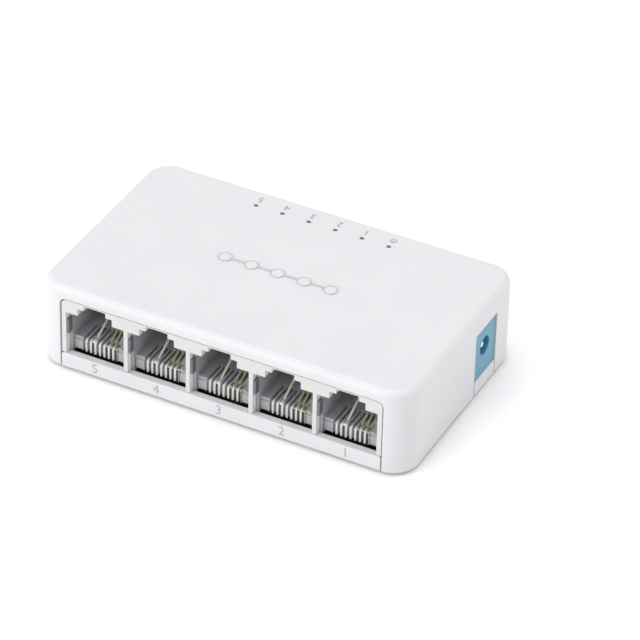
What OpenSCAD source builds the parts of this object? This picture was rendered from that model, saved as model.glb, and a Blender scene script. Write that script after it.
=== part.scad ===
// Five-port desktop network switch.
// A low casing with its port row along the front (-Y), the power socket in the +X end
// and six indicator holes along the back of the roof. Origin: middle of the footprint,
// on the surface that the feet stand on. Sizes in millimetres.

/* [Casing] */
// Width of the casing, along the port row
case_w = 82.2; // [80:0.1:110]
// Depth of the casing, from the port face to the back
case_d = 49.8; // [48:0.1:70]
// Height of the closed casing, without its feet
case_h = 19.0; // [18.8:0.1:26]
// Thickness of the side walls
wall_t = 1.8; // [1.2:0.1:2.4]
// Thickness of the roof
roof_t = 1.6; // [1.2:0.1:2.0]
// Radius of the four upright corners
corner_r = 5.4; // [3.5:0.1:8]
// Radius of the rounded edge around the roof
edge_r = 1.6; // [0.8:0.1:2.2]
// Thickness of the base plate
base_t = 1.0; // [0.8:0.1:1.4]
// Gap around every piece that sits in a window or inside the walls
case_gap = 0.15; // [0.1:0.01:0.3]
// How far the feet hold the casing off the table
foot_drop = 0.8; // [0.6:0.1:2]
// Diameter of a foot
foot_d = 8; // [5:0.1:9]

/* [Port row] */
// Distance between neighbouring ports
port_pitch = 13.97; // [13.97:0.01:14.2]
// Height of the port row from the board to its top
row_h = 13.4; // [13.3:0.1:14]
// Depth of the port row
row_d = 15.5; // [15:0.1:20]
// Thickness of the white front frame of the port row
frame_t = 1.5; // [1.2:0.1:2]
// How far the port row sits behind the casing's front
row_recess = 0.2; // [0.1:0.05:0.5]
// Width of the space that takes a plug
plug_w = 11.9; // [11.8:0.05:12]
// Height of the space that takes a plug
plug_h = 6.7; // [6.6:0.05:6.8]
// Depth of the space that takes a plug
plug_d = 12.9; // [12:0.1:13]
// Distance between neighbouring contact slots
contact_pitch = 1.02; // [0.98:0.01:1.04]
// Width of a contact strip
contact_w = 0.46; // [0.35:0.01:0.5]
// Thickness of a contact strip
contact_t = 0.3; // [0.2:0.01:0.35]
// Angle at which a contact rises off the floor of its port
contact_rise = 27; // [20:1:28]

/* [Power socket] */
// Width of the socket
dc_w = 9.0; // [8:0.1:10]
// Height of the socket above the board
dc_h = 11.5; // [10.8:0.1:12.2]
// Length of the socket
dc_len = 13.0; // [12:0.1:15]
// Diameter of the hole for the plug's barrel
dc_hole_d = 4.0; // [3.6:0.1:4.6]
// Diameter of the pin in the middle of the hole
dc_pin_d = 1.3; // [1:0.05:1.7]
// Height of the hole's axis above the board
dc_axis_h = 6.7; // [6.5:0.1:7]
// Distance of the socket from the casing's middle, towards the back
dc_y = 10.2; // [8:0.1:11]
// How far the socket's face sits behind the end of the casing
dc_recess = 0.3; // [0.1:0.05:0.6]

/* [Indicators] */
// Distance between neighbouring indicator holes
light_pitch = 6.02; // [5:0.01:6.5]
// Diameter of an indicator hole in the roof
light_hole_d = 1.0; // [0.9:0.05:1.8]
// Distance of the row of holes from the back of the casing
light_back = 5.6; // [5:0.1:7]
// Distance of the row's middle from the casing's middle, towards the left end
light_shift = 0.3; // [0:0.1:2]

/* [Board] */
// Thickness of the circuit board
board_t = 1.2; // [1:0.1:1.6]
// Height of the board above the inside of the base plate
board_lift = 0.6; // [0.5:0.1:1]
// Diameter of a screw's thread
screw_d = 2.4; // [2:0.1:2.6]

/* [Hidden] */
arc_fn = 48;
shell_fn = 32;
over = 0.5;
snug = 0.03;

// Heights; the casing closes over the port row even when the row is made taller
case_z = foot_drop;
head_room = 1.2;
shell_h = max(case_h, base_t + board_lift + board_t + row_h + head_room + roof_t);
case_top = case_z + shell_h;
roof_z = case_top - roof_t;
floor_z = case_z + base_t;
board_z = floor_z + board_lift;
board_top = board_z + board_t;
row_top = board_top + row_h;

// Front windows and the base's tongues that close them from below
front_y = -case_d / 2;
row_y = front_y + row_recess;
port_count = 5;
port_x = [for (n = [1 : port_count]) ((port_count + 1) / 2 - n) * port_pitch];
row_end_t = 0.57;
row_w = port_count * port_pitch + 2 * row_end_t;
shell_w = max(case_w, row_w + 2 * corner_r);
window_gap = 0.25;
window_r = 1.5;
tongue_t = 1.6;
tongue_top = board_top + 0.5;
tongue_r = 0.6;

// One port, measured from its own middle and from the front of the port row
mouth_w = 13.0;
frame_foot = tongue_top + 0.05;
plug_floor = board_top + 3.7;
plug_top = plug_floor + plug_h;
shoulder_w = 7.7;
shoulder_h = 1.6;
latch_w = 4.84;
latch_h = 1.1;
liner_wall = 0.67;
liner_w = plug_w + 2 * liner_wall;
liner_top = row_top - 0.8;
liner_d = row_d - 0.1;
latch_space_w = 8.8;
latch_space_d = 9.5;
arm_low = plug_floor + 1.6;
arm_high = plug_floor + 4.9;
arm_front = 0.15;
floor_t = 0.8;

// Contacts: eight slots in the comb, four of them holding a strip
comb_front = 1.9;
comb_depth = 2.3;
comb_w = 7.9;
wing_set = 0.3;
floor_set = 0.5;
comb_back = plug_d - 0.1;
comb_foot = board_top + 0.75;
slot_w = contact_w + 0.1;
slot_count = 8;
filled_slots = [2, 5, 6, 7];
slot_deep = 0.65;
lead_z = board_top + 0.4;
lead_y = comb_front + slot_deep - snug - contact_t / 2;
bend_y = 3.7;
bend_z = plug_floor - 0.25;
spring_len = 7.0;
spring_start = 0.12;
slot_back = 7.6;
lead_rows = [8.9, 11.4];
lead_tail = 0.5;
lead_hole_d = 0.9;
peg_d = 2.2;
peg_y = (plug_d + liner_d) / 2;
peg_tail = 0.2;
peg_play = 0.1;

// Power socket
dc_x1 = shell_w / 2 - dc_recess;
dc_x0 = dc_x1 - dc_len;
dc_z = board_top + dc_axis_h;
dc_flange = 3.6;
dc_bore_len = 11.0;
dc_barrel_d = 8.2;
dc_body_w = 7.6;
dc_window_gap = 0.3;
dc_foot = 0.4;
leaf_w = 2.0;
leaf_t = 0.3;
leaf_slot_w = leaf_w + 0.6;
leaf_x = dc_x0 + 8.6;
leaf_z = board_top + 3.0;
leaf_len = 6.3;
leaf_bite = 0.35;
leaf_root = 0.12;
leaf_angle = atan((dc_z - dc_hole_d / 2 + leaf_bite - leaf_z) / leaf_len);
leaf_slot_x = [dc_x0 + 1.5, leaf_x + 0.8];
terminal_tail = 0.45;
terminal_t = 0.4;
pin_tab_w = 2.4;
pin_setback = 0.5;
pin_shoulder_d = dc_pin_d + 0.6;
side_tab_x = dc_x0 + 5.2;
side_tab_w = 1.6;
tab_play = 0.2;

// Board outline and fixings
board_gap = 0.5;
board_x = shell_w / 2 - wall_t - board_gap;
board_front = row_y + 2.9;
board_back = case_d / 2 - wall_t - board_gap;
board_corner_r = corner_r - wall_t;
rest_x = 20;
rest_w = 6;
rest_front = row_y + 15.6;
rest_d = 1.4;
screw_left = [8.1, 5];
screw_right = [17.1, 5.4];
screw_xy = [
    [screw_left[0] - shell_w / 2, screw_left[1]],
    [shell_w / 2 - screw_right[0], case_d / 2 - screw_right[1]]
];
boss_d = 5.6;
screw_head_d = 4.6;
screw_head_h = 0.8;
screw_len = 9;
screw_play = 0.02;
boss_hole_len = 8;
cross_l = 2.4;
cross_w = 0.5;
cross_web = 0.25;
board_hole_d = screw_d + 0.6;
head_play = 0.1;
head_pocket = 0.95;

// Feet, label and vents under the base
foot_seat = 0.4;
foot_inset = 8.2;
label_w = 34;
label_d = 17;
label_t = 0.1;
label_r = 1.0;
vent_w = 1.4;
vent_r = 0.6;
vent_len = 11;
vent_step = 3.0;
vent_rows = 5;
vent_x = 24;

// Indicators
light_count = 6;
light_y = case_d / 2 - light_back;
light_x = [for (k = [0 : light_count - 1]) (k - (light_count - 1) / 2) * light_pitch - light_shift];
guide_d = light_hole_d - 0.1;
guide_dip = 0.3;
guide_bar_d = 2.4;
guide_bar_h = 1.2;
guide_bar_end = 1.4;
guide_gap = 0.4;
lamp_w = 1.6;
lamp_d = 0.8;
lamp_h = 0.6;

// Small parts on the board
chip_xy = [-6, 9];
chip_w = 7.0;
chip_h = 1.4;
chip_legs = 12;
chip_leg_pitch = 0.5;
chip_lift = 0.1;
chip_dot_d = 0.7;
chip_dot_inset = 0.9;
chip_leg = [0.24, 0.5, 0.25, 1.0];
transformer_x = [-25, -9, 7];
transformer_y = row_y + row_d + 6.4;
transformer_leg = [0.4, 0.9, 0.3, 1.2];
transformer_w = 12.7;
transformer_d = 6.8;
transformer_h = 5.5;
transformer_legs_per_side = 8;
transformer_leg_pitch = 1.27;
leg_t = 0.2;
crystal_xy = [-21, 10];
crystal_l = 11.0;
crystal_d = 4.6;
crystal_h = 3.6;
crystal_rim = 0.4;
crystal_rim_h = 0.5;
coil_xy = [13, 9.5];
coil_w = 5.0;
coil_h = 2.6;
coil_core_d = 3.8;
coil_plate = 0.65;
coil_r = 0.8;
regulator_xy = [19.5, 7.5];
regulator_w = 3.0;
regulator_d = 1.6;
regulator_h = 1.1;
capacitor_xy = [[20.5, 0.8], [28.5, 0.2]];
capacitor_d = 6.3;
capacitor_h = 8.5;
capacitor_groove = [1.0, 1.4, 1.8];
capacitor_step = 0.3;
chip_r_w = 1.6;
chip_r_d = 0.8;
chip_r_h = 0.5;
chip_r_step = 2.6;
chip_r_xy = [-15, 15.2];
chip_r_count = 8;

// A block between two opposite corners
module block(lo, hi) {
    translate(lo) cube([hi[0] - lo[0], hi[1] - lo[1], hi[2] - lo[2]]);
}

// An upright slab with round corners
module round_slab(w, d, h, r) {
    linear_extrude(h) {
        square([w - 2 * r, d], center = true);
        square([w, d - 2 * r], center = true);
        for (sx = [-1, 1], sy = [-1, 1]) translate([sx * (w / 2 - r), sy * (d / 2 - r)])
            circle(r = r, $fn = arc_fn);
    }
}

// The outside of the casing: round corners and a round edge around the roof
module casing_form() {
    hull() {
        for (sx = [-1, 1], sy = [-1, 1]) {
            translate([sx * (shell_w / 2 - corner_r), sy * (case_d / 2 - corner_r), 0]) {
                cylinder(r = corner_r, h = shell_h - edge_r, $fn = shell_fn);
                translate([0, 0, shell_h - edge_r]) rotate_extrude($fn = shell_fn) intersection() {
                    translate([corner_r - edge_r, 0]) circle(r = edge_r, $fn = shell_fn);
                    square([corner_r, edge_r]);
                }
            }
        }
    }
}

// A window outline standing in X and Z, open at the bottom, with round upper corners
module arch_outline(w, h, r) {
    translate([-w / 2, 0]) square([w, h - r]);
    translate([-w / 2 + r, 0]) square([w - 2 * r, h]);
    for (sx = [-1, 1]) translate([sx * (w / 2 - r), h - r]) circle(r = r, $fn = arc_fn);
}

// The outline pushed back along +Y from the plane y
module arch_prism(y, depth, w, z, h, r) {
    translate([0, y + depth, z]) rotate([90, 0, 0]) linear_extrude(depth) arch_outline(w, h, r);
}

module top_cover() {
    window_w = row_w + 2 * window_gap;
    window_h = row_top + window_gap - case_z;
    color("whitesmoke") difference() {
        union() {
            difference() {
                translate([0, 0, case_z]) casing_form();
                translate([0, 0, case_z - over])
                    round_slab(
                        shell_w - 2 * wall_t, case_d - 2 * wall_t, shell_h - roof_t + over, corner_r - wall_t
                    );
            }
            for (p = screw_xy) translate([p[0], p[1], board_top])
                cylinder(d = boss_d, h = roof_z - board_top + over, $fn = arc_fn);
        }
        arch_prism(front_y - over, wall_t + 2 * over, window_w, case_z - over, window_h + over, window_r);
        block(
            [shell_w / 2 - wall_t - over, dc_y - dc_w / 2 - dc_window_gap, case_z - over],
            [shell_w / 2 + over, dc_y + dc_w / 2 + dc_window_gap, board_top + dc_h + dc_window_gap]
        );
        for (x = light_x) translate([x, light_y, roof_z - over])
            cylinder(d = light_hole_d, h = roof_t + 2 * over, $fn = arc_fn);
        for (p = screw_xy) translate([p[0], p[1], board_top - over])
            cylinder(d = screw_d + screw_play, h = boss_hole_len + over, $fn = arc_fn);
    }
}

// One foot's place under the base
module at_each_foot() {
    for (sx = [-1, 1], sy = [-1, 1])
        translate([sx * (shell_w / 2 - foot_inset), sy * (case_d / 2 - foot_inset), 0]) children();
}

module base_cover() {
    inner_w = shell_w - 2 * wall_t - 2 * case_gap;
    inner_d = case_d - 2 * wall_t - 2 * case_gap;
    color("whitesmoke") difference() {
        union() {
            translate([0, 0, case_z]) round_slab(inner_w, inner_d, base_t, corner_r - wall_t - case_gap);
            // front tongue, the strip under the ports
            arch_prism(front_y, tongue_t, row_w, case_z, tongue_top - case_z, tongue_r);
            block([-row_w / 2, front_y + over, case_z], [row_w / 2, front_y + wall_t + over, floor_z]);
            // end tongue under the power socket
            translate([shell_w / 2, dc_y, 0]) {
                block([-tongue_t, -dc_w / 2, case_z], [0, dc_w / 2, board_top + dc_foot - snug]);
                block([-wall_t - over, -dc_w / 2, case_z], [-over, dc_w / 2, floor_z]);
            }
            for (p = screw_xy) translate([p[0], p[1], case_z])
                cylinder(d = boss_d, h = board_z - case_z, $fn = arc_fn);
            // rests that carry the board
            for (sx = [-1, 1]) translate([sx * rest_x, 0, 0])
                block([-rest_w / 2, rest_front, case_z], [rest_w / 2, rest_front + rest_d, board_z]);
        }
        for (p = screw_xy) translate([p[0], p[1], case_z - over]) {
            cylinder(d = screw_head_d + 2 * head_play, h = head_pocket + over, $fn = arc_fn);
            cylinder(d = screw_d + 2 * head_play, h = board_z + over, $fn = arc_fn);
        }
        at_each_foot() translate([0, 0, case_z - over])
            cylinder(d = foot_d, h = foot_seat + over, $fn = arc_fn);
        for (sx = [-1, 1], k = [0 : vent_rows - 1]) {
            vent_y = (k - (vent_rows - 1) / 2) * vent_step;
            translate([sx * vent_x, vent_y, case_z - over])
                round_slab(vent_len, vent_w, base_t + 2 * over, vent_r);
        }
    }
}

module rubber_feet() {
    color("gray") at_each_foot() cylinder(d = foot_d, h = foot_drop + foot_seat, $fn = arc_fn);
}

module base_label() {
    color("white") translate([0, 0, case_z - label_t]) round_slab(label_w, label_d, label_t, label_r);
}

module case_screws() {
    head_top = case_z + head_pocket;
    color("silver") for (p = screw_xy) translate([p[0], p[1], 0]) difference() {
        union() {
            translate([0, 0, head_top - screw_head_h])
                cylinder(d = screw_head_d, h = screw_head_h, $fn = arc_fn);
            translate([0, 0, head_top]) cylinder(d = screw_d, h = screw_len, $fn = arc_fn);
        }
        // cross recess
        for (a = [0, 90]) rotate([0, 0, a])
            block([-cross_l / 2, -cross_w / 2, 0], [cross_l / 2, cross_w / 2, head_top - cross_web]);
    }
}

module main_board() {
    color("seagreen") difference() {
        translate([0, (board_front + board_back) / 2, board_z])
            round_slab(2 * board_x, board_back - board_front, board_t, board_corner_r);
        for (p = screw_xy) translate([p[0], p[1], board_z - over])
            cylinder(d = board_hole_d, h = board_t + 2 * over, $fn = arc_fn);
        for (x = port_x) {
            translate([x, row_y + peg_y, board_z - over])
                cylinder(d = peg_d + peg_play, h = board_t + 2 * over, $fn = arc_fn);
            for (k = filled_slots) translate([x + slot_x(k), row_y + lead_rows[k % 2], board_z - over])
                cylinder(d = lead_hole_d, h = board_t + 2 * over, $fn = arc_fn);
        }
        // slots for the power socket's three solder tabs
        for (s = power_tabs()) tab(s, board_z - over, board_top + over, tab_play);
    }
}

// Place of contact slot k across a port
function slot_x(k) = (k - (slot_count - 1) / 2) * contact_pitch;

// Solder tabs of the power socket: middle in x and y, then width in x and y
function power_tabs() = [
    [dc_x0 - terminal_t / 2, dc_y, terminal_t, pin_tab_w],
    [leaf_x + terminal_t / 2 + 0.1, dc_y, terminal_t, leaf_w],
    [side_tab_x, dc_y - dc_body_w / 2 - terminal_t / 2, side_tab_w, terminal_t]
];

// An upright strip at a solder tab's place, or the slot for it
module tab(place, z0, z1, play = 0) {
    half_x = place[2] / 2 + play;
    half_y = place[3] / 2 + play;
    block([place[0] - half_x, place[1] - half_y, z0], [place[0] + half_x, place[1] + half_y, z1]);
}

module port_row_frame() {
    color("white") difference() {
        union() {
            arch_prism(row_y, row_d, row_w, frame_foot, row_top - frame_foot, window_r - window_gap);
            block([-row_w / 2, row_y + tongue_t, board_top], [row_w / 2, row_y + row_d, frame_foot + over]);
        }
        for (x = port_x) translate([x, row_y, 0]) {
            // stepped mouth of the port
            block([-mouth_w / 2, -over, 0], [mouth_w / 2, frame_t + over, plug_top]);
            block([-shoulder_w / 2, -over, 0], [shoulder_w / 2, frame_t + over, plug_top + shoulder_h]);
            block([-latch_w / 2, -over, 0], [latch_w / 2, frame_t + over, plug_top + shoulder_h + latch_h]);
            // pocket that holds the liner
            block([-liner_w / 2 - snug, frame_t, 0], [liner_w / 2 + snug, row_d + over, liner_top]);
        }
    }
}

module port_liner(n) {
    color("dimgray") translate([port_x[n - 1], row_y, 0]) {
        difference() {
            block([-liner_w / 2, frame_t, board_top], [liner_w / 2, liner_d, liner_top - snug]);
            block([-plug_w / 2, 0, plug_floor], [plug_w / 2, plug_d, plug_top]);
            block([-latch_space_w / 2, 0, plug_floor], [latch_space_w / 2, latch_space_d, row_top]);
            // room for the comb under the floor and for the contact slots in it
            block([-plug_w / 2, 0, 0], [plug_w / 2, plug_d, plug_floor - floor_t]);
            block([-plug_w / 2, 0, 0], [plug_w / 2, comb_front + floor_set, plug_floor + over]);
            block(
                [-comb_w / 2 - snug, 0, 0],
                [comb_w / 2 + snug, comb_front + comb_depth + snug, plug_floor + over]
            );
            for (k = [0 : slot_count - 1]) block(
                [slot_x(k) - slot_w / 2, 0, plug_floor - floor_t - over],
                [slot_x(k) + slot_w / 2, slot_back, plug_floor + over]
            );
        }
        // side arms that reach forward through the frame
        for (sx = [-1, 1]) {
            arm_x = [sx * plug_w / 2, sx * (mouth_w / 2 - snug)];
            block([min(arm_x), arm_front, arm_low], [max(arm_x), frame_t, arm_high]);
        }
        translate([0, peg_y, board_z - peg_tail]) cylinder(d = peg_d, h = board_t + peg_tail, $fn = arc_fn);
    }
}

module contact_comb(n) {
    comb_half = plug_w / 2 - snug;
    color("lightgray") translate([port_x[n - 1], row_y, 0]) difference() {
        union() {
            block(
                [-comb_half, comb_front + wing_set, comb_foot],
                [comb_half, comb_back, plug_floor - floor_t]
            );
            block([-comb_w / 2, comb_front, comb_foot], [comb_w / 2, comb_front + comb_depth, plug_floor]);
        }
        for (k = [0 : slot_count - 1]) {
            x = slot_x(k);
            block([x - slot_w / 2, 0, 0], [x + slot_w / 2, comb_front + slot_deep, plug_floor + over]);
            block(
                [x - slot_w / 2, 0, plug_floor - slot_deep],
                [x + slot_w / 2, comb_front + comb_depth + over, plug_floor + over]
            );
        }
    }
}

// The fixed length of one contact: a solder tail, a run under the comb, up its front and over
module contact_lead(k) {
    tail_y = lead_rows[k % 2];
    t = contact_t;
    x0 = slot_x(k) - contact_w / 2;
    x1 = slot_x(k) + contact_w / 2;
    block([x0, tail_y - t / 2, board_z - lead_tail], [x1, tail_y + t / 2, lead_z + t / 2]);
    block([x0, lead_y - t / 2, lead_z - t / 2], [x1, tail_y + t / 2, lead_z + t / 2]);
    block([x0, lead_y - t / 2, lead_z - t / 2], [x1, lead_y + t / 2, bend_z + t / 2]);
    block([x0, lead_y - t / 2, bend_z - t / 2], [x1, bend_y, bend_z + t / 2]);
}

module contact_leads(n) {
    color("gold") translate([port_x[n - 1], row_y, 0]) for (k = filled_slots) contact_lead(k);
}

// The sprung length of the contacts, rising off the floor towards the plug
module contact_springs(n) {
    color("gold") translate([port_x[n - 1], row_y + bend_y, bend_z]) rotate([contact_rise, 0, 0])
        for (k = filled_slots) block(
            [slot_x(k) - contact_w / 2, spring_start, -contact_t / 2],
            [slot_x(k) + contact_w / 2, spring_len, contact_t / 2]
        );
}

// A cylinder lying along X, between two places
module rod_x(x0, x1, y, z, d) {
    translate([x0, y, z]) rotate([0, 90, 0]) cylinder(d = d, h = x1 - x0, $fn = arc_fn);
}

module power_socket() {
    flange_x = dc_x1 - dc_flange;
    color("steelblue") difference() {
        union() {
            translate([0, dc_y, board_top]) {
                block([flange_x, -dc_w / 2, dc_foot], [dc_x1, dc_w / 2, dc_h]);
                block([dc_x0, -dc_body_w / 2, 0], [flange_x + over, dc_body_w / 2, dc_axis_h]);
            }
            rod_x(dc_x0, flange_x + over, dc_y, dc_z, dc_barrel_d);
        }
        rod_x(dc_x1 - dc_bore_len, dc_x1 + over, dc_y, dc_z, dc_hole_d);
        rod_x(dc_x0 - over, dc_x1 - dc_bore_len + over, dc_y, dc_z, pin_shoulder_d);
        // slot that the leaf spring works in
        block(
            [leaf_slot_x[0], dc_y - leaf_slot_w / 2, board_top - over],
            [leaf_slot_x[1], dc_y + leaf_slot_w / 2, dc_z]
        );
    }
}

module power_pin() {
    color("silver") {
        rod_x(dc_x0 - terminal_t / 2, dc_x1 - dc_bore_len, dc_y, dc_z, pin_shoulder_d);
        rod_x(dc_x1 - dc_bore_len, dc_x1 - pin_setback, dc_y, dc_z, dc_pin_d);
        tab(power_tabs()[0], board_z - terminal_tail, dc_z + pin_tab_w / 2);
    }
}

// The leaf, hinged at its lower front end and rising towards the back of the socket
module power_spring() {
    color("silver") translate([leaf_x, dc_y, leaf_z]) rotate([0, leaf_angle, 0])
        block([-leaf_len / cos(leaf_angle), -leaf_w / 2, -leaf_t / 2], [-leaf_root, leaf_w / 2, leaf_t / 2]);
}

module power_terminals() {
    color("silver") {
        tab(power_tabs()[1], board_z - terminal_tail, leaf_z + leaf_t / 2);
        tab(power_tabs()[2], board_z - terminal_tail, dc_z - dc_hole_d / 2);
    }
}

module light_guide() {
    bar_z = roof_z - guide_bar_h;
    foot_z = board_top + lamp_h + guide_gap;
    color("lightcyan") {
        for (x = light_x) translate([x, light_y, foot_z])
            cylinder(d = guide_d, h = case_top - guide_dip - foot_z, $fn = arc_fn);
        block(
            [light_x[0] - guide_bar_end, light_y - guide_bar_d / 2, bar_z],
            [light_x[light_count - 1] + guide_bar_end, light_y + guide_bar_d / 2, roof_z]
        );
    }
}

module indicator_lamps() {
    color("ivory") for (x = light_x) translate([x, light_y, board_top])
        block([-lamp_w / 2, -lamp_d / 2, 0], [lamp_w / 2, lamp_d / 2, lamp_h]);
}

module switch_chip() {
    color("black") translate([chip_xy[0], chip_xy[1], board_top + chip_lift]) difference() {
        block([-chip_w / 2, -chip_w / 2, 0], [chip_w / 2, chip_w / 2, chip_h]);
        translate([chip_dot_inset - chip_w / 2, chip_w / 2 - chip_dot_inset, chip_h - chip_lift])
            cylinder(d = chip_dot_d, h = over, $fn = arc_fn);
    }
}

// A bent leg: out of a body's side at x, down, and along the board. The form lists its
// width, its height on the body, the distance to its knee and its reach.
module gull_leg(x, form) {
    half = form[0] / 2;
    knee = x + form[2];
    block([x, -half, form[1]], [knee + leg_t, half, form[1] + leg_t]);
    block([knee, -half, 0], [knee + leg_t, half, form[1] + leg_t]);
    block([knee, -half, 0], [x + form[3], half, leg_t]);
}

module switch_chip_legs() {
    color("silver") for (a = [0 : 90 : 270], k = [0 : chip_legs - 1])
        translate([chip_xy[0], chip_xy[1], board_top]) rotate([0, 0, a])
            translate([0, (k - (chip_legs - 1) / 2) * chip_leg_pitch, 0]) gull_leg(chip_w / 2, chip_leg);
}

module line_transformer(n) {
    color("black") translate([transformer_x[n - 1], transformer_y, board_top + chip_lift])
        block(
            [-transformer_w / 2, -transformer_d / 2, 0],
            [transformer_w / 2, transformer_d / 2, transformer_h]
        );
}

module transformer_legs() {
    color("silver") for (x = transformer_x, sy = [-1, 1], k = [0 : transformer_legs_per_side - 1]) {
        leg_x = (k - (transformer_legs_per_side - 1) / 2) * transformer_leg_pitch;
        translate([x + leg_x, transformer_y, board_top]) rotate([0, 0, sy * 90])
            gull_leg(transformer_d / 2, transformer_leg);
    }
}

module clock_crystal() {
    can_l = crystal_l - 2 * crystal_rim;
    can_d = crystal_d - 2 * crystal_rim;
    color("silver") translate([crystal_xy[0], crystal_xy[1], board_top]) {
        round_slab(crystal_l, crystal_d, crystal_rim_h, crystal_d / 2 - snug);
        round_slab(can_l, can_d, crystal_h, can_d / 2 - snug);
    }
}

module power_coil() {
    color("dimgray") translate([coil_xy[0], coil_xy[1], board_top]) {
        round_slab(coil_w, coil_w, coil_plate, coil_r);
        cylinder(d = coil_core_d, h = coil_h, $fn = arc_fn);
        translate([0, 0, coil_h - coil_plate]) round_slab(coil_w, coil_w, coil_plate, coil_r);
    }
}

module voltage_regulator() {
    color("black") translate([regulator_xy[0], regulator_xy[1], board_top])
        block([-regulator_w / 2, -regulator_d / 2, 0], [regulator_w / 2, regulator_d / 2, regulator_h]);
}

module smoothing_capacitor(n) {
    xy = capacitor_xy[n - 1];
    r = capacitor_d / 2;
    color("silver") translate([xy[0], xy[1], board_top]) rotate_extrude($fn = arc_fn) polygon([
        [0, 0],
        [r, 0],
        [r, capacitor_groove[0]],
        [r - capacitor_step, capacitor_groove[1]],
        [r, capacitor_groove[2]],
        [r, capacitor_h - capacitor_step],
        [r - capacitor_step, capacitor_h],
        [0, capacitor_h]
    ]);
}

module chip_resistors() {
    color("black") for (k = [0 : chip_r_count - 1])
        translate([chip_r_xy[0] + k * chip_r_step, chip_r_xy[1], board_top])
            block([-chip_r_w / 2, -chip_r_d / 2, 0], [chip_r_w / 2, chip_r_d / 2, chip_r_h]);
}

top_cover();
base_cover();
rubber_feet();
base_label();
case_screws();
main_board();
port_row_frame();
port_liner(1);  // port_liner_1
port_liner(2);  // port_liner_2
port_liner(3);  // port_liner_3
port_liner(4);  // port_liner_4
port_liner(5);  // port_liner_5
contact_comb(1);  // contact_comb_1
contact_comb(2);  // contact_comb_2
contact_comb(3);  // contact_comb_3
contact_comb(4);  // contact_comb_4
contact_comb(5);  // contact_comb_5
contact_leads(1);  // contact_leads_1
contact_leads(2);  // contact_leads_2
contact_leads(3);  // contact_leads_3
contact_leads(4);  // contact_leads_4
contact_leads(5);  // contact_leads_5
contact_springs(1);  // contact_springs_1
contact_springs(2);  // contact_springs_2
contact_springs(3);  // contact_springs_3
contact_springs(4);  // contact_springs_4
contact_springs(5);  // contact_springs_5
power_socket();
power_pin();
power_spring();
power_terminals();
light_guide();
indicator_lamps();
switch_chip();
switch_chip_legs();
line_transformer(1);  // line_transformer_1
line_transformer(2);  // line_transformer_2
line_transformer(3);  // line_transformer_3
transformer_legs();
clock_crystal();
power_coil();
voltage_regulator();
smoothing_capacitor(1);  // smoothing_capacitor_1
smoothing_capacitor(2);  // smoothing_capacitor_2
chip_resistors();
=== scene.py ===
from math import cos, pi, radians, sin

import bmesh
import bpy
from mathutils import Matrix, Vector


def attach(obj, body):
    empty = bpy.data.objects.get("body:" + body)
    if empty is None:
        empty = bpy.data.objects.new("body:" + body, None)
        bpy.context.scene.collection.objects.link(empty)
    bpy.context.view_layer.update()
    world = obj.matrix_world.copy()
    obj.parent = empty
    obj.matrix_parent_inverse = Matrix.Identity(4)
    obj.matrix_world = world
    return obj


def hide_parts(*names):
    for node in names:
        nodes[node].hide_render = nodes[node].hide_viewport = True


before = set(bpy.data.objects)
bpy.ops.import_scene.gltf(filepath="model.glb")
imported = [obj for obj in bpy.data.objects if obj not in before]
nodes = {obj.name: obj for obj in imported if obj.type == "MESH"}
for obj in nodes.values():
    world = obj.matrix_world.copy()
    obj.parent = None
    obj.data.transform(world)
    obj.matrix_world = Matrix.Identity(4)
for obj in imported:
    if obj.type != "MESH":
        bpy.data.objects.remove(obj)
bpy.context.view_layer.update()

# ------------------------------------------------------------------ base plate
# The casing's floor: one white moulding that carries the board, with the strip under
# the ports standing on its front edge and a tongue under the power socket on its right.
# The feet sit in round seats in its underside, between two sets of air slots.
MM = 0.001


class Wire:
    """A value on its way between shader nodes. Sums on it add Math nodes."""

    def __init__(self, finish, socket):
        self.finish = finish
        self.socket = socket

    def _math(self, operation, *values):
        return self.finish.node("ShaderNodeMath", {"operation": operation}, dict(enumerate(values)))

    def __add__(self, other):
        return self._math("ADD", self, other)

    def __sub__(self, other):
        return self._math("SUBTRACT", self, other)

    def __mul__(self, other):
        return self._math("MULTIPLY", self, other)

    def __gt__(self, other):
        return self._math("GREATER_THAN", self, other)

    def __lt__(self, other):
        return self._math("LESS_THAN", self, other)

    __radd__ = __add__


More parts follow.
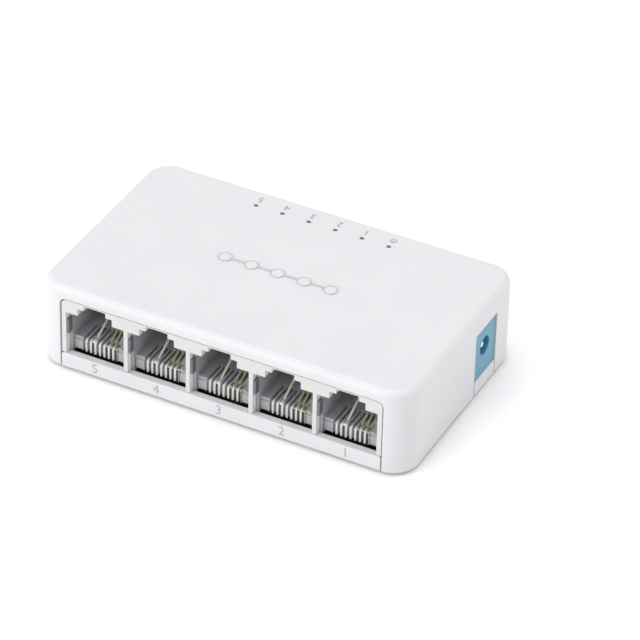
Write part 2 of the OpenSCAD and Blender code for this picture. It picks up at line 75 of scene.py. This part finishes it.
class Finish:
    """A surface finish: one Principled shader and the nodes that feed it."""

    def __init__(self, name, **constants):
        self.material = bpy.data.materials.new(name)
        self.material.use_nodes = True
        self.tree = self.material.node_tree
        self.shader = self.tree.nodes["Principled BSDF"]
        for socket, value in constants.items():
            self.shader.inputs[socket.replace("_", " ")].default_value = value
        self.place = self.node("ShaderNodeTexCoord", output="Object")

    def node(self, kind, settings=None, inputs=None, output=0):
        node = self.tree.nodes.new(kind)
        for key, value in (settings or {}).items():
            if key == "stops":
                node.color_ramp.elements[0].position = value[0]
                node.color_ramp.elements[1].position = value[1]
            else:
                setattr(node, key, value)
        for key, value in (inputs or {}).items():
            if isinstance(value, Wire):
                self.tree.links.new(value.socket, node.inputs[key])
            else:
                node.inputs[key].default_value = value
        return Wire(self, node.outputs[output])

    def noise(self, size, detail=2.0, stretch=(1, 1, 1)):
        """Cloudy noise whose patches are about size millimetres across."""
        place = self.place
        if stretch != (1, 1, 1):
            place = self.node("ShaderNodeMapping", {}, {"Vector": place, "Scale": stretch})
        scale = 1 / (size * MM)
        return self.node("ShaderNodeTexNoise", {}, {"Vector": place, "Scale": scale, "Detail": detail})

    def along(self, axis):
        """The place along X, Y or Z, in metres."""
        return self.node("ShaderNodeSeparateXYZ", {}, {"Vector": self.place}, output="XYZ".index(axis))

    def blend(self, share, first, second):
        """The first colour where share is 0 and the second where it is 1."""
        first, second = [c if isinstance(c, Wire) else (*c, 1) for c in (first, second)]
        return self.node("ShaderNodeMix", {"data_type": "RGBA"}, {0: share, 6: first, 7: second}, output=2)

    def feed(self, socket, wire):
        self.tree.links.new(wire.socket, self.shader.inputs[socket])

    def grain(self, height, depth):
        """Bumps of that depth in millimetres, by a height from 0 to 1."""
        bump = self.node("ShaderNodeBump", {}, {"Height": height, "Distance": depth * MM, "Strength": 1.0})
        self.feed("Normal", bump)

    def dress(self, *pieces):
        for piece in pieces:
            piece.data.materials.clear()
            piece.data.materials.append(self.material)


def moulded(name, light, dark, roughness, grain, depth, patches=None, **constants):
    """Moulded plastic: a slow drift between two close tones and a fine tooled grain.

    Patches, a noise's size and detail, mix the two tones in place of the drift.
    """
    finish = Finish(name, **constants)
    if patches:
        share = finish.noise(*patches)
    else:
        share = finish.node("ShaderNodeValToRGB", {"stops": (0.35, 0.65)}, {"Fac": finish.noise(14, 3.0)})
    finish.tone = finish.blend(share, light, dark)
    finish.feed("Base Color", finish.tone)
    tooth = finish.noise(grain, 4.0)
    finish.feed("Roughness", roughness + (tooth - 0.5) * 0.16 + (finish.noise(5) - 0.5) * 0.08)
    finish.grain(tooth, depth)
    return finish


def begin(piece):
    """Edit mode on that piece alone."""
    bpy.ops.object.select_all(action="DESELECT")
    piece.select_set(True)
    bpy.context.view_layer.objects.active = piece
    bpy.ops.object.mode_set(mode="EDIT")


def choose(kind, test):
    """Selects the corners, edges or faces that pass the test, and nothing else."""
    bpy.ops.mesh.select_mode(type=kind)
    bpy.ops.mesh.select_all(action="DESELECT")
    form = bmesh.from_edit_mesh(bpy.context.edit_object.data)
    for item in {"VERT": form.verts, "EDGE": form.edges, "FACE": form.faces}[kind]:
        if test(item):
            item.select_set(True)
    bmesh.update_edit_mesh(bpy.context.edit_object.data)


def end():
    bpy.ops.object.mode_set(mode="OBJECT")


def apply(piece, kind, **settings):
    """Adds a modifier with those settings and applies it."""
    modifier = piece.modifiers.new("step", kind)
    for key, value in settings.items():
        setattr(modifier, key, value)
    bpy.ops.object.select_all(action="DESELECT")
    piece.select_set(True)
    bpy.context.view_layer.objects.active = piece
    bpy.ops.object.modifier_apply(modifier=modifier.name)


def even_shading(piece):
    """Smooth across the roundings, flat across the flats."""
    bpy.ops.object.shade_smooth_by_angle(angle=radians(36))
    apply(piece, "WEIGHTED_NORMAL", keep_sharp=True, weight=60)


def soften(piece, radius, segments=3, sharper_than=40):
    """Rounds every sharp edge."""
    apply(
        piece, "BEVEL", width=radius * MM, segments=segments, limit_method="ANGLE",
        angle_limit=radians(sharper_than), use_clamp_overlap=False, miter_outer="MITER_ARC",
    )
    even_shading(piece)


def soft_copy(name, node, radius, segments=2, shaping=None):
    """A copy of a designed part, shaped further and rounded, to be shown in its place."""
    piece = nodes[node].copy()
    piece.data = nodes[node].data.copy()
    piece.name = piece.data.name = name
    piece.parent = None
    for key in list(piece.keys()):
        del piece[key]
    bpy.context.collection.objects.link(piece)
    begin(piece)
    bpy.ops.mesh.select_all(action="SELECT")
    bpy.ops.mesh.remove_doubles(threshold=0.001 * MM)
    bpy.ops.mesh.dissolve_limited(angle_limit=radians(0.5))
    end()
    if shaping:
        shaping(piece)
    soften(piece, radius, segments)
    return piece


def fit(piece, body, slot, *stands_for):
    """Fixes the finished piece to a body in the place of those designed parts."""
    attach(piece, body)
    if stands_for:
        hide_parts(*stands_for)


shell_white = moulded(
    "shell white", (0.668, 0.662, 0.686), (0.650, 0.644, 0.668), 0.33, 0.22, 0.0012,
    Coat_Weight=0.12, Coat_Roughness=0.2, Specular_IOR_Level=0.45,
)
base_plate = soft_copy("base_plate", "base_cover", 0.12)
shell_white.dress(base_plate)
fit(base_plate, "casing", "white_shell", "base_cover")

# ------------------------------------------------------------------ rubber feet
# Four round feet of soft grey rubber, pressed into the seats under the base plate.
# Each has a rounded rim and a shallow dish that lets it grip the table.
foot_radius, foot_height = 4.0, 1.2
foot_rim, dish_slope, dish_depth = 0.9, 0.25, 0.15
foot_places = [(x, y) for x in (-32.9, 32.9) for y in (-16.7, 16.7)]


def rod(name, middle, radius, length, along="Z", sides=64):
    """A cylinder about its middle point, in millimetres."""
    turn = {"X": (0, pi / 2, 0), "Y": (pi / 2, 0, 0), "Z": (0, 0, 0)}[along]
    bpy.ops.object.select_all(action="DESELECT")
    bpy.ops.mesh.primitive_cylinder_add(
        vertices=sides, radius=radius * MM, depth=length * MM, location=Vector(middle) * MM, rotation=turn
    )
    bpy.ops.object.transform_apply(location=True, rotation=True, scale=True)
    piece = bpy.context.active_object
    piece.name = piece.data.name = name
    return piece


def middle(item):
    """The middle of an edge or a face, in millimetres."""
    return sum((v.co for v in item.verts), Vector()) / len(item.verts) / MM


def join(first, *others):
    bpy.ops.object.select_all(action="DESELECT")
    for piece in (first, *others):
        piece.select_set(True)
    bpy.context.view_layer.objects.active = first
    bpy.ops.object.join()
    return first


def repeat(first, places):
    """Copies of a piece, each with its own mesh, moved by those places in millimetres."""
    copies = []
    for place in places:
        piece = first.copy()
        piece.data = first.data.copy()
        piece.data.transform(Matrix.Translation(Vector(place) * MM))
        bpy.context.collection.objects.link(piece)
        copies.append(piece)
    bpy.data.objects.remove(first)
    return copies


foot = rod("foot", (0, 0, foot_height / 2), foot_radius, foot_height)
begin(foot)
choose("FACE", lambda f: f.normal.z < -0.9)
bpy.ops.mesh.inset(thickness=foot_rim * MM)
bpy.ops.mesh.inset(thickness=dish_slope * MM)
bpy.ops.transform.translate(value=(0, 0, dish_depth * MM))
end()
soften(foot, 0.22)
feet = join(*repeat(foot, [(x, y, 0) for x, y in foot_places]))
feet.name = feet.data.name = "feet"
foot_grey = moulded("foot grey", (0.16, 0.16, 0.17), (0.12, 0.12, 0.125), 0.75, 0.3, 0.006)
foot_grey.dress(feet)
fit(feet, "casing", "foot_rubber", "rubber_feet")

# ------------------------------------------------------------------ base label
# A blank silver-white film stuck in the middle of the underside. A thin printed frame
# runs inside its edge.
label_size = (34.0, 17.0)
label_margin, label_line_w = 1.4, 0.3
label_film = Finish("label film", Roughness=0.35, Specular_IOR_Level=0.4)
beyond = []
for axis, length in zip("XY", label_size):
    away = label_film.node("ShaderNodeMath", {"operation": "ABSOLUTE"}, {0: label_film.along(axis)})
    beyond.append(away - (length / 2 - label_margin) * MM)
outside = label_film.node("ShaderNodeMath", {"operation": "MAXIMUM"}, dict(enumerate(beyond)))
label_line = (outside > 0.0) * (outside < label_line_w * MM)
paper = label_film.blend(label_film.noise(0.4, 3.0), (0.80, 0.80, 0.81), (0.74, 0.74, 0.76))
label_film.feed("Base Color", label_film.blend(label_line, paper, (0.25, 0.25, 0.27)))
label_film.grain(label_film.noise(0.3), 0.001)
label_film.dress(nodes["base_label"])

# ------------------------------------------------------------------ circuit board
# A very dark green laminate on the base plate's rests. Tracks lie under its lacquer,
# which is a shade darker between them, and the weave of the glass cloth shows faintly.
board_green = Finish("board green", Roughness=0.35, Specular_IOR_Level=0.5)
tracks = board_green.node(
    "ShaderNodeTexBrick", {"offset": 0.5},
    {"Vector": board_green.place, "Scale": 90.0, "Mortar Size": 0.03, "Brick Width": 0.9, "Row Height": 0.12},
    output="Fac",
)
lacquer = board_green.blend(board_green.noise(6), (0.002, 0.005, 0.0035), (0.003, 0.007, 0.005))
board_green.feed("Base Color", board_green.blend(tracks, lacquer, (0.005, 0.014, 0.009)))
weave = board_green.node(
    "ShaderNodeTexWave", {"wave_type": "BANDS"}, {"Vector": board_green.place, "Scale": 900.0}
)
board_green.grain(weave * 0.4 + tracks, 0.004)
board_green.dress(nodes["main_board"])

# ------------------------------------------------------------------ small parts on the board
# Black moulded bodies, tinned legs, drawn cans, a wound coil and cream lamps, all held
# by their solder. They are closed in by the casing.
chip_black = moulded("chip black", (0.018, 0.018, 0.02), (0.026, 0.026, 0.028), 0.5, 0.12, 0.004)
chip_parts = ["switch_chip", "line_transformer_1", "line_transformer_2", "line_transformer_3"]
chip_black.dress(*[nodes[n] for n in chip_parts + ["voltage_regulator", "chip_resistors"]])
coil_grey = moulded("coil grey", (0.06, 0.06, 0.065), (0.09, 0.088, 0.085), 0.6, 0.25, 0.01)
coil_grey.dress(nodes["power_coil"])


def metal(name, light, dark, roughness, streak, metallic=1.0):
    """Rolled or drawn metal with fine streaks in its surface."""
    finish = Finish(name, Metallic=metallic)
    lines = finish.noise(streak[0], 3.0, streak[1])
    finish.tone = finish.blend(lines, light, dark)
    finish.feed("Base Color", finish.tone)
    finish.feed("Roughness", roughness + (lines - 0.5) * 0.18)
    finish.grain(lines, 0.002)
    return finish


tinned = metal("tinned metal", (0.72, 0.72, 0.74), (0.58, 0.58, 0.60), 0.3, (0.5, (1, 1, 0.2)))
tinned.dress(nodes["switch_chip_legs"], nodes["transformer_legs"], nodes["power_terminals"])
can_metal = metal("can aluminium", (0.76, 0.76, 0.77), (0.66, 0.66, 0.68), 0.26, (0.6, (1, 1, 6)))
can_metal.dress(nodes["clock_crystal"], nodes["smoothing_capacitor_1"], nodes["smoothing_capacitor_2"])
lamp_cream = moulded("lamp cream", (0.72, 0.68, 0.52), (0.66, 0.62, 0.46), 0.25, 0.2, 0.002)
lamp_cream.dress(nodes["indicator_lamps"])

# ------------------------------------------------------------------ port row frame
# One white moulding holds all five jacks. Each mouth is stepped: the plug's full width
# below, a shoulder above it and a narrow notch for the latch at the top. The bars
# between the mouths are thin, and a pocket behind each mouth takes the dark interior.
row_half, row_y, row_d = 35.495, -24.7, 15.5
row_foot, row_top, plug_top = 4.15, 17.0, 14.0
frame_t, tongue_t, board_top = 1.5, 1.6, 3.6
pocket_half, pocket_roof, frame_corner_r = 6.65, 0.8, 1.25
port_pitch = 13.97
port_x = {n: (3 - n) * port_pitch for n in range(1, 6)}
mouth_steps = [(13.0, plug_top), (7.7, plug_top + 1.6), (4.84, plug_top + 2.7)]


def block(name, low, high):
    """A block between two corners, in millimetres."""
    low, high = Vector(low) * MM, Vector(high) * MM
    bpy.ops.object.select_all(action="DESELECT")
    bpy.ops.mesh.primitive_cube_add(size=1, location=(low + high) / 2, scale=high - low)
    bpy.ops.object.transform_apply(location=True, rotation=True, scale=True)
    piece = bpy.context.active_object
    piece.name = piece.data.name = name
    return piece


def combine(piece, operation, *others):
    """Cuts the others out of the piece, or adds them to it."""
    for other in others:
        apply(piece, "BOOLEAN", operation=operation, solver="EXACT", object=other)
        bpy.data.objects.remove(other)
    return piece


def runs_along(edge, axis):
    direction = (edge.verts[1].co - edge.verts[0].co).normalized()
    return abs(direction[axis]) > 0.999


def round_corners(piece, radius, test, segments=10):
    begin(piece)
    choose("EDGE", test)
    bpy.ops.mesh.bevel(offset=radius * MM, segments=segments, affect="EDGES")
    end()
    return piece


row_frame = block("row_frame", (-row_half, row_y, row_foot), (row_half, row_y + row_d, row_top))
round_corners(row_frame, frame_corner_r, lambda e: runs_along(e, 1) and middle(e).z > row_top - 0.1)
heel = block("heel", (-row_half, row_y + tongue_t, board_top), (row_half, row_y + row_d, row_foot + 0.5))
combine(row_frame, "UNION", heel)
port_places = [(x, 0, 0) for x in port_x.values()]
for width, top in mouth_steps:
    opening = block("opening", (-width / 2, row_y - 1, 0), (width / 2, row_y + frame_t + 0.5, top))
    combine(row_frame, "DIFFERENCE", *repeat(opening, port_places))
pocket = block(
    "pocket", (-pocket_half, row_y + frame_t, 0), (pocket_half, row_y + row_d + 1, row_top - pocket_roof)
)
combine(row_frame, "DIFFERENCE", *repeat(pocket, port_places))
soften(row_frame, 0.12)
frame_white = moulded(
    "frame white", (0.61, 0.62, 0.615), (0.585, 0.595, 0.59), 0.3, 0.2, 0.0012, patches=(14, 3.0),
    Coat_Weight=0.1, Coat_Roughness=0.2,
)
# Painted light: every face behind the frame's front face, the mouths' sides and steps included, is coloured
# much lighter than the front face. This stands in for light that the mouths keep out.
inside = frame_white.along("Y") > (row_y + 0.2) * MM
frame_white.feed("Base Color", frame_white.blend(inside, frame_white.tone, (0.88, 0.88, 0.88)))
frame_white.dress(row_frame)
fit(row_frame, "casing", "white_socket", "port_row_frame")

# ------------------------------------------------------------------ port interiors
# The dark lining of each jack: a box around the plug's space with a pocket for the latch in its
# roof and two side arms that reach through the frame. Where they pass through the frame, the
# arms are coloured much darker, painted shade.
liner_dark = moulded(
    "liner grey", (0.42, 0.415, 0.44), (0.38, 0.375, 0.40), 0.45, 0.18, 0.003, patches=(4, 2.0)
)
# Painted shade: the arms' length within the frame is coloured near black.
painted_shade_arms = liner_dark.along("Y") < (row_y + frame_t) * MM
liner_dark.feed("Base Color", liner_dark.blend(painted_shade_arms, liner_dark.tone, (0.15, 0.15, 0.16)))
for n in port_x:
    liner = soft_copy(f"liner_{n}", f"port_liner_{n}", 0.04)
    liner_dark.dress(liner)
    fit(liner, "casing", "dark_liner", f"port_liner_{n}")

# ------------------------------------------------------------------ contact combs
# A light grey block under each mouth with eight slots. The contacts come up its front
# and over it, held apart by its ribs. The ribs' front faces and the front of their bends
# are coloured paler than the rest of the comb, painted light.
comb_grey = moulded("comb grey", (0.44, 0.44, 0.455), (0.38, 0.38, 0.39), 0.42, 0.15, 0.002)
rib_painted_light = moulded("rib pale", (0.62, 0.62, 0.605), (0.56, 0.56, 0.545), 0.35, 0.15, 0.0015)
rib_span, rib_front_y, rib_top_z, rib_bend_r = 3.95, -22.8, 7.3, 0.75


def bend_ribs(comb):
    """Rounds the front of every rib where it turns from upright to level."""
    at_bend = lambda spot: abs(spot.y - rib_front_y) < 0.05 and abs(spot.z - rib_top_z) < 0.05
    round_corners(comb, rib_bend_r, lambda e: runs_along(e, 0) and at_bend(middle(e)), 6)


for n, x in port_x.items():
    comb = soft_copy(f"comb_{n}", f"contact_comb_{n}", 0.05, shaping=bend_ribs)
    comb_grey.dress(comb)
    comb.data.materials.append(rib_painted_light.material)
    # Painted light: the ribs' forward-facing faces take the paler finish.
    for face in comb.data.polygons:
        spot = face.center / MM
        painted_light_front = spot.y < rib_front_y + 0.1 or spot.z > rib_top_z - rib_bend_r and face.normal.y < -0.1
        face.material_index = int(abs(spot.x - x) < rib_span and painted_light_front)
    fit(comb, "casing", "grey_comb", f"contact_comb_{n}")

# ------------------------------------------------------------------ contacts
# Four gilt spring strips in each port: a fixed length up the front of the comb, and a
# sprung length that gives under the plug. The first of the four is coloured near white and
# less metallic than the others, a painted highlight. Below the bend the strips are bare metal
# where the gilding ends, coloured near black as painted shade.
first_strip_x, gilt_end_and_shade_z = -1.53, 6.8


def gilded(name, light, dark, metallic):
    finish = metal(name, light, dark, 0.32, (0.25, (1, 0.15, 1)), metallic)
    # Below this height the strips are bare metal where the gilding ends, coloured near black as painted shade.
    bare_and_painted_shade = finish.along("Z") < gilt_end_and_shade_z * MM
    finish.feed("Base Color", finish.blend(bare_and_painted_shade, finish.tone, (0.10, 0.095, 0.07)))
    return finish


gilt = gilded("gilt", (0.54, 0.51, 0.30), (0.42, 0.40, 0.22), 0.7)
# Painted highlight: the first strip in each port is coloured near white and less metallic than the others.
gilt_highlight = gilded("pale gilt", (0.95, 0.93, 0.84), (0.88, 0.86, 0.75), 0.35)
for n, x in port_x.items():
    for name, node, body in [
        (f"lead_strips_{n}", f"contact_leads_{n}", "casing"),
        (f"spring_strips_{n}", f"contact_springs_{n}", f"port_{n}_contacts"),
    ]:
        strips = soft_copy(name, node, 0.06)
        gilt.dress(strips)
        strips.data.materials.append(gilt_highlight.material)
        for face in strips.data.polygons:
            face.material_index = int(abs(face.center.x / MM - x - first_strip_x) < 0.4)
        fit(strips, body, "contact_gold", node)

# ------------------------------------------------------------------ power socket
# The blue barrel socket in the right end: a square face with a round hole, a round
# barrel behind it and a heel down to the board, with a slot below for the leaf.
socket_x, socket_y, socket_z = 40.8, 10.2, 10.3
face_low, face_high = (37.2, 5.7, 4.0), (socket_x, 14.7, 15.1)
heel_low, heel_high = (27.8, 6.4, board_top), (37.5, 14.0, socket_z)
barrel_r, bore_r, shoulder_r, pin_r, leaf_slot_half = 4.1, 2.0, 0.95, 0.65, 1.3
socket_body = block("socket_body", face_low, face_high)
round_corners(socket_body, 0.35, lambda e: runs_along(e, 0), 4)
combine(
    socket_body, "UNION",
    block("heel", heel_low, heel_high),
    rod("barrel", (32.7, socket_y, socket_z), barrel_r, 9.8, "X"),
)
combine(
    socket_body, "DIFFERENCE",
    rod("bore", (35.8, socket_y, socket_z), bore_r, 12.0, "X"),
    rod("pin_seat", (29.0, socket_y, socket_z), shoulder_r + 0.01, 4.0, "X", 32),
    block("leaf_slot", (29.3, socket_y - leaf_slot_half, 3.0), (37.2, socket_y + leaf_slot_half, socket_z)),
)
soften(socket_body, 0.16)
socket_blue = moulded(
    "socket blue", (0.058, 0.275, 0.42), (0.050, 0.25, 0.385), 0.3, 0.2, 0.0015,
    Coat_Weight=0.1, Coat_Roughness=0.15,
)
socket_blue.dress(socket_body)
fit(socket_body, "casing", "blue_socket", "power_socket")

# ------------------------------------------------------------------ socket pin
# The round pin in the middle of the bore that takes the inside of a plug, with a wider
# shoulder in the socket's rear wall and a flat tab behind it, down to the board.
pin = rod("pin", (33.95, socket_y, socket_z), pin_r, 12.7, "X", 40)
round_corners(pin, 0.3, lambda e: middle(e).x > 40.2, 4)
combine(pin, "UNION", rod("pin_shoulder", (28.7, socket_y, socket_z), shoulder_r, 2.2, "X", 40))
pin_tab = block("pin_tab", (27.4, socket_y - 1.2, 1.95), (27.8, socket_y + 1.2, socket_z + 1.2))
soften(pin_tab, 0.08)
join(pin, pin_tab)
bpy.ops.object.shade_smooth_by_angle(angle=radians(30))
pin_bright = metal("bright nickel", (0.95, 0.95, 0.94), (0.86, 0.86, 0.86), 0.3, (0.5, (0.2, 1, 1)), 0.35)
pin_bright.dress(pin)
fit(pin, "casing", "tinned_metal", "power_pin")

# ------------------------------------------------------------------ socket leaf
# A bright spring leaf that reaches into the bore from below, presses on the barrel of a
# plug and gives under it.
leaf = soft_copy("leaf", "power_spring", 0.07)
steel = metal("bright steel", (0.80, 0.80, 0.82), (0.70, 0.70, 0.72), 0.2, (0.5, (0.2, 1, 1)))
steel.dress(leaf)
fit(leaf, "power_leaf", "tinned_metal", "power_spring")

# ------------------------------------------------------------------ light guide
# A clear moulding that hangs under the roof. Its six rods carry the lamps' light up to
# the holes. Their tops show as small dark dots while the lamps are off: the clear plastic
# is drawn opaque and coloured dark grey, painted shade for the dark seen through it.
guide = soft_copy("guide", "light_guide", 0.05)
guide_clear = Finish("guide clear", Roughness=0.12, IOR=1.49, Specular_IOR_Level=0.3)
haze = guide_clear.noise(1.0)
# Painted shade: a dark grey base colour in place of clear plastic.
guide_clear.feed("Base Color", guide_clear.blend(haze, (0.13, 0.13, 0.14), (0.10, 0.10, 0.11)))
guide_clear.feed("Roughness", 0.12 + haze * 0.1)
guide_clear.dress(guide)
fit(guide, "casing", "clear_guide", "light_guide")

# ------------------------------------------------------------------ top cover
# The white shell: a block with round corners and a round roof edge, hollow from below,
# with the port window in its front, the socket window in its right end and six holes
# in its roof. Two bosses under the roof take the case screws.
case_low, case_high = (-41.1, -24.9, 0.8), (41.1, 24.9, 19.8)
corner_r, roof_edge_r, wall_t, roof_z = 5.4, 1.6, 1.8, 18.2
window_half, window_top, window_r = 35.745, 17.25, 1.5
light_pitch, light_shift = 6.02, 0.3
light_x = [(k - 2.5) * light_pitch - light_shift for k in range(6)]
light_y, light_hole_r = 19.3, 0.5
end_window_low, end_window_high = (38.6, 5.4, -1), (42, 15.0, 15.4)
boss_places = [(-33.0, 5.0), (24.0, 19.5)]
boss_r, screw_hole_r = 2.8, 1.21

cover = block("cover", case_low, case_high)
round_corners(cover, corner_r, lambda e: runs_along(e, 2), 16)
round_corners(cover, roof_edge_r, lambda e: all(v.co.z > 19.7 * MM for v in e.verts), 8)
begin(cover)
choose("FACE", lambda f: f.normal.z < -0.9)
bpy.ops.mesh.inset(thickness=wall_t * MM)
bpy.ops.mesh.extrude_region_move(TRANSFORM_OT_translate={"value": (0, 0, (roof_z - case_low[2]) * MM)})
end()
window = block("window", (-window_half, -26, -1), (window_half, -22.6, window_top))
round_corners(window, window_r, lambda e: runs_along(e, 1) and middle(e).z > 5, 8)
combine(cover, "DIFFERENCE", window, block("end_window", end_window_low, end_window_high))
soften(cover, 0.14)

# A drill with a flared shank leaves each light hole with a small chamfer.
drill = rod("drill", (0, light_y, 18.5), light_hole_r, 2.4, sides=32)
begin(drill)
choose("FACE", lambda f: f.normal.z > 0.9)
bpy.ops.mesh.extrude_region_move(TRANSFORM_OT_translate={"value": (0, 0, 0.12 * MM)})
bpy.ops.transform.resize(value=(1.2, 1.2, 1), center_override=Vector((0, light_y, 19.82)) * MM)
bpy.ops.mesh.extrude_region_move(TRANSFORM_OT_translate={"value": (0, 0, 1.0 * MM)})
end()
combine(cover, "DIFFERENCE", *repeat(drill, [(x, 0, 0) for x in light_x]))
even_shading(cover)

boss = rod("boss", (0, 0, 10.95), boss_r, 14.7)
combine(boss, "DIFFERENCE", rod("screw_hole", (0, 0, 7.5), screw_hole_r, 8.2, sides=40))
soften(boss, 0.12)
join(cover, *repeat(boss, [(x, y, 0) for x, y in boss_places]))
shell_white.dress(cover)
fit(cover, "casing", "white_shell", "top_cover")

# ------------------------------------------------------------------ emblem
# A raised row of five round dots in the middle of the roof, each with a smaller round
# sunk in it and linked to the next by a short bar. Only its top has the shell's white; its
# sunk centres and the foot of its sides are coloured grey, painted shade.
roof_top = case_high[2]
emblem_height, emblem_pitch, emblem_x = 0.24, 5.9, -0.3
dot_r, dot_rim, dot_sink, bar_w = 1.5, 0.42, 0.22, 0.5

dot = rod("dot", (0, 0, roof_top + emblem_height / 2 - 0.1), dot_r, emblem_height + 0.2)
begin(dot)
choose("FACE", lambda f: f.normal.z > 0.9)
bpy.ops.mesh.inset(thickness=dot_rim * MM)
bpy.ops.transform.translate(value=(0, 0, -dot_sink * MM))
end()
bar_half = emblem_pitch / 2 - 1.4
bar = block(
    "bar", (-bar_half, -bar_w / 2, roof_top - 0.2), (bar_half, bar_w / 2, roof_top + emblem_height)
)
emblem = join(
    *repeat(dot, [((k - 2) * emblem_pitch + emblem_x, 0, 0) for k in range(5)]),
    *repeat(bar, [((k - 1.5) * emblem_pitch + emblem_x, 0, 0) for k in range(4)]),
)
emblem.name = emblem.data.name = "emblem"
soften(emblem, 0.05, 2)
emblem_painted_shade = moulded(
    "emblem grey", (0.50, 0.495, 0.51), (0.46, 0.455, 0.47), 0.35, 0.22, 0.0012, patches=(2, 2.0)
)
# Painted shade: all but the raised top is coloured darker grey than the shell.
raised = emblem_painted_shade.along("Z") > (roof_top + 0.1) * MM
emblem_painted_shade.feed("Base Color", emblem_painted_shade.blend(raised, (0.660, 0.654, 0.678), emblem_painted_shade.tone))
emblem_painted_shade.dress(emblem)
fit(emblem, "casing", "white_shell")

# ------------------------------------------------------------------ port figures
# The numbers 1 to 5, printed in pale grey on the strip below the ports. Port 1 is the
# one beside the power socket.


def figure(text, height, spot, turn):
    """A printed figure, a film a hundredth of a millimetre thick."""
    bpy.ops.object.select_all(action="DESELECT")
    bpy.ops.object.text_add()
    piece = bpy.context.active_object
    piece.data.body = text
    piece.data.size = height * 1.4 * MM
    piece.data.extrude = 0.01 * MM
    piece.data.align_x = "CENTER"
    piece.data.align_y = "CENTER"
    bpy.ops.object.convert(target="MESH")
    piece = bpy.context.active_object
    piece.rotation_euler = turn
    piece.location = Vector(spot) * MM
    bpy.ops.object.transform_apply(location=True, rotation=True, scale=True)
    return piece


port_figures = join(*[figure(str(n), 2.2, (x, -24.905, 2.45), (pi / 2, 0, 0)) for n, x in port_x.items()])
port_figures.name = port_figures.data.name = "port_figures"
ink_grey = Finish("ink grey", Roughness=0.5)
ink_grey.feed("Base Color", ink_grey.blend(ink_grey.noise(0.3), (0.34, 0.34, 0.36), (0.40, 0.40, 0.42)))
ink_grey.dress(port_figures)
fit(port_figures, "casing", "white_shell")

# ------------------------------------------------------------------ light figures
# The same numbers, printed in dark grey behind the roof holes and read from the back,
# with a power ring behind the sixth hole.
light_figures = join(
    *[figure(str(5 - k), 1.7, (x, 21.4, roof_top + 0.002), (0, 0, pi)) for k, x in enumerate(light_x[:5])]
)
light_figures.name = light_figures.data.name = "light_figures"
bpy.ops.object.select_all(action="DESELECT")
bpy.ops.mesh.primitive_torus_add(
    major_radius=0.62 * MM, minor_radius=0.11 * MM, major_segments=40, minor_segments=8,
    location=Vector((light_x[5], 21.4, roof_top)) * MM,
)
ring = bpy.context.active_object
ring.scale = (1, 1, 0.15)
bpy.ops.object.transform_apply(location=True, rotation=True, scale=True)
stroke = block("stroke", (light_x[5] - 0.11, 20.6, roof_top - 0.01), (light_x[5] + 0.11, 21.5, roof_top + 0.02))
join(light_figures, ring, stroke)
ink_dark = Finish("ink dark", Roughness=0.5)
ink_dark.feed("Base Color", ink_dark.blend(ink_dark.noise(0.3), (0.24, 0.24, 0.25), (0.30, 0.30, 0.31)))
ink_dark.dress(light_figures)
fit(light_figures, "casing", "white_shell")

# ------------------------------------------------------------------ case screws
# Two nickel-plated screws with a cross recess, driven up through the base plate and
# the board into the cover's bosses.
screws = soft_copy("screws", "case_screws", 0.08)
steel.dress(screws)
fit(screws, "casing", "steel", "case_screws")

# ------------------------------------------------------------------ table and light
# A plain white table under a bright even dome, with a large soft lamp ahead and to the
# left, one overhead and a weak one behind the right end, which stays a little darker.
bpy.ops.object.select_all(action="DESELECT")
bpy.ops.mesh.primitive_plane_add(size=6, location=(0, 0, 0))
table = bpy.context.active_object
table.name = "table"
table_white = Finish("table white", Roughness=0.8, Specular_IOR_Level=0.1)
table_tone = table_white.blend(table_white.noise(300), (0.97, 0.97, 0.97), (0.965, 0.965, 0.965))
table_white.feed("Base Color", table_tone)
table_white.dress(table)

world = bpy.data.worlds.new("dome")
world.use_nodes = True
world.node_tree.nodes["Background"].inputs["Color"].default_value = (1.0, 1.0, 1.0, 1)
world.node_tree.nodes["Background"].inputs["Strength"].default_value = 0.70
bpy.context.scene.world = world
bpy.context.scene.view_settings.view_transform = "Standard"


def lamp(name, spot, aim, size, power):
    bpy.ops.object.light_add(type="AREA", location=spot)
    light = bpy.context.active_object
    light.name = name
    light.data.size = size
    light.data.energy = power
    light.rotation_mode = "QUATERNION"
    light.rotation_quaternion = (Vector(spot) - Vector(aim)).to_track_quat("Z", "Y")


lamp("front_lamp", (-0.66, -0.90, 0.58), (0, 0, 0.01), 1.2, 9.0)
lamp("ceiling_lamp", (0, 0.1, 1.3), (0, 0, 0), 1.4, 8.0)
lamp("end_lamp", (0.90, 0.72, 0.40), (0, 0, 0.01), 0.7, 1.6)

# ------------------------------------------------------------------ camera
# It looks down on the front and the right end from some way off, through a long lens,
# and is turned very slightly on its axis.
camera_aim = Vector((6.89, 0.0, 11.01)) * MM
camera_turn, camera_tilt, camera_roll = radians(26.59), radians(35.84), radians(1.44)
camera_distance = 0.7948
camera_back = Vector(
    (sin(camera_turn) * cos(camera_tilt), -cos(camera_turn) * cos(camera_tilt), sin(camera_tilt))
)
bpy.ops.object.camera_add(location=camera_aim + camera_back * camera_distance)
camera = bpy.context.active_object
camera.rotation_mode = "QUATERNION"
look = camera_back.to_track_quat("Z", "Y").to_matrix() @ Matrix.Rotation(camera_roll, 3, "Z")
camera.rotation_quaternion = look.to_quaternion()
camera.data.lens = 224.9
camera.data.sensor_width = 36.0
camera.data.shift_x = 0.0175
camera.data.clip_start = 0.05
camera.data.clip_end = 50.0
bpy.context.scene.camera = camera
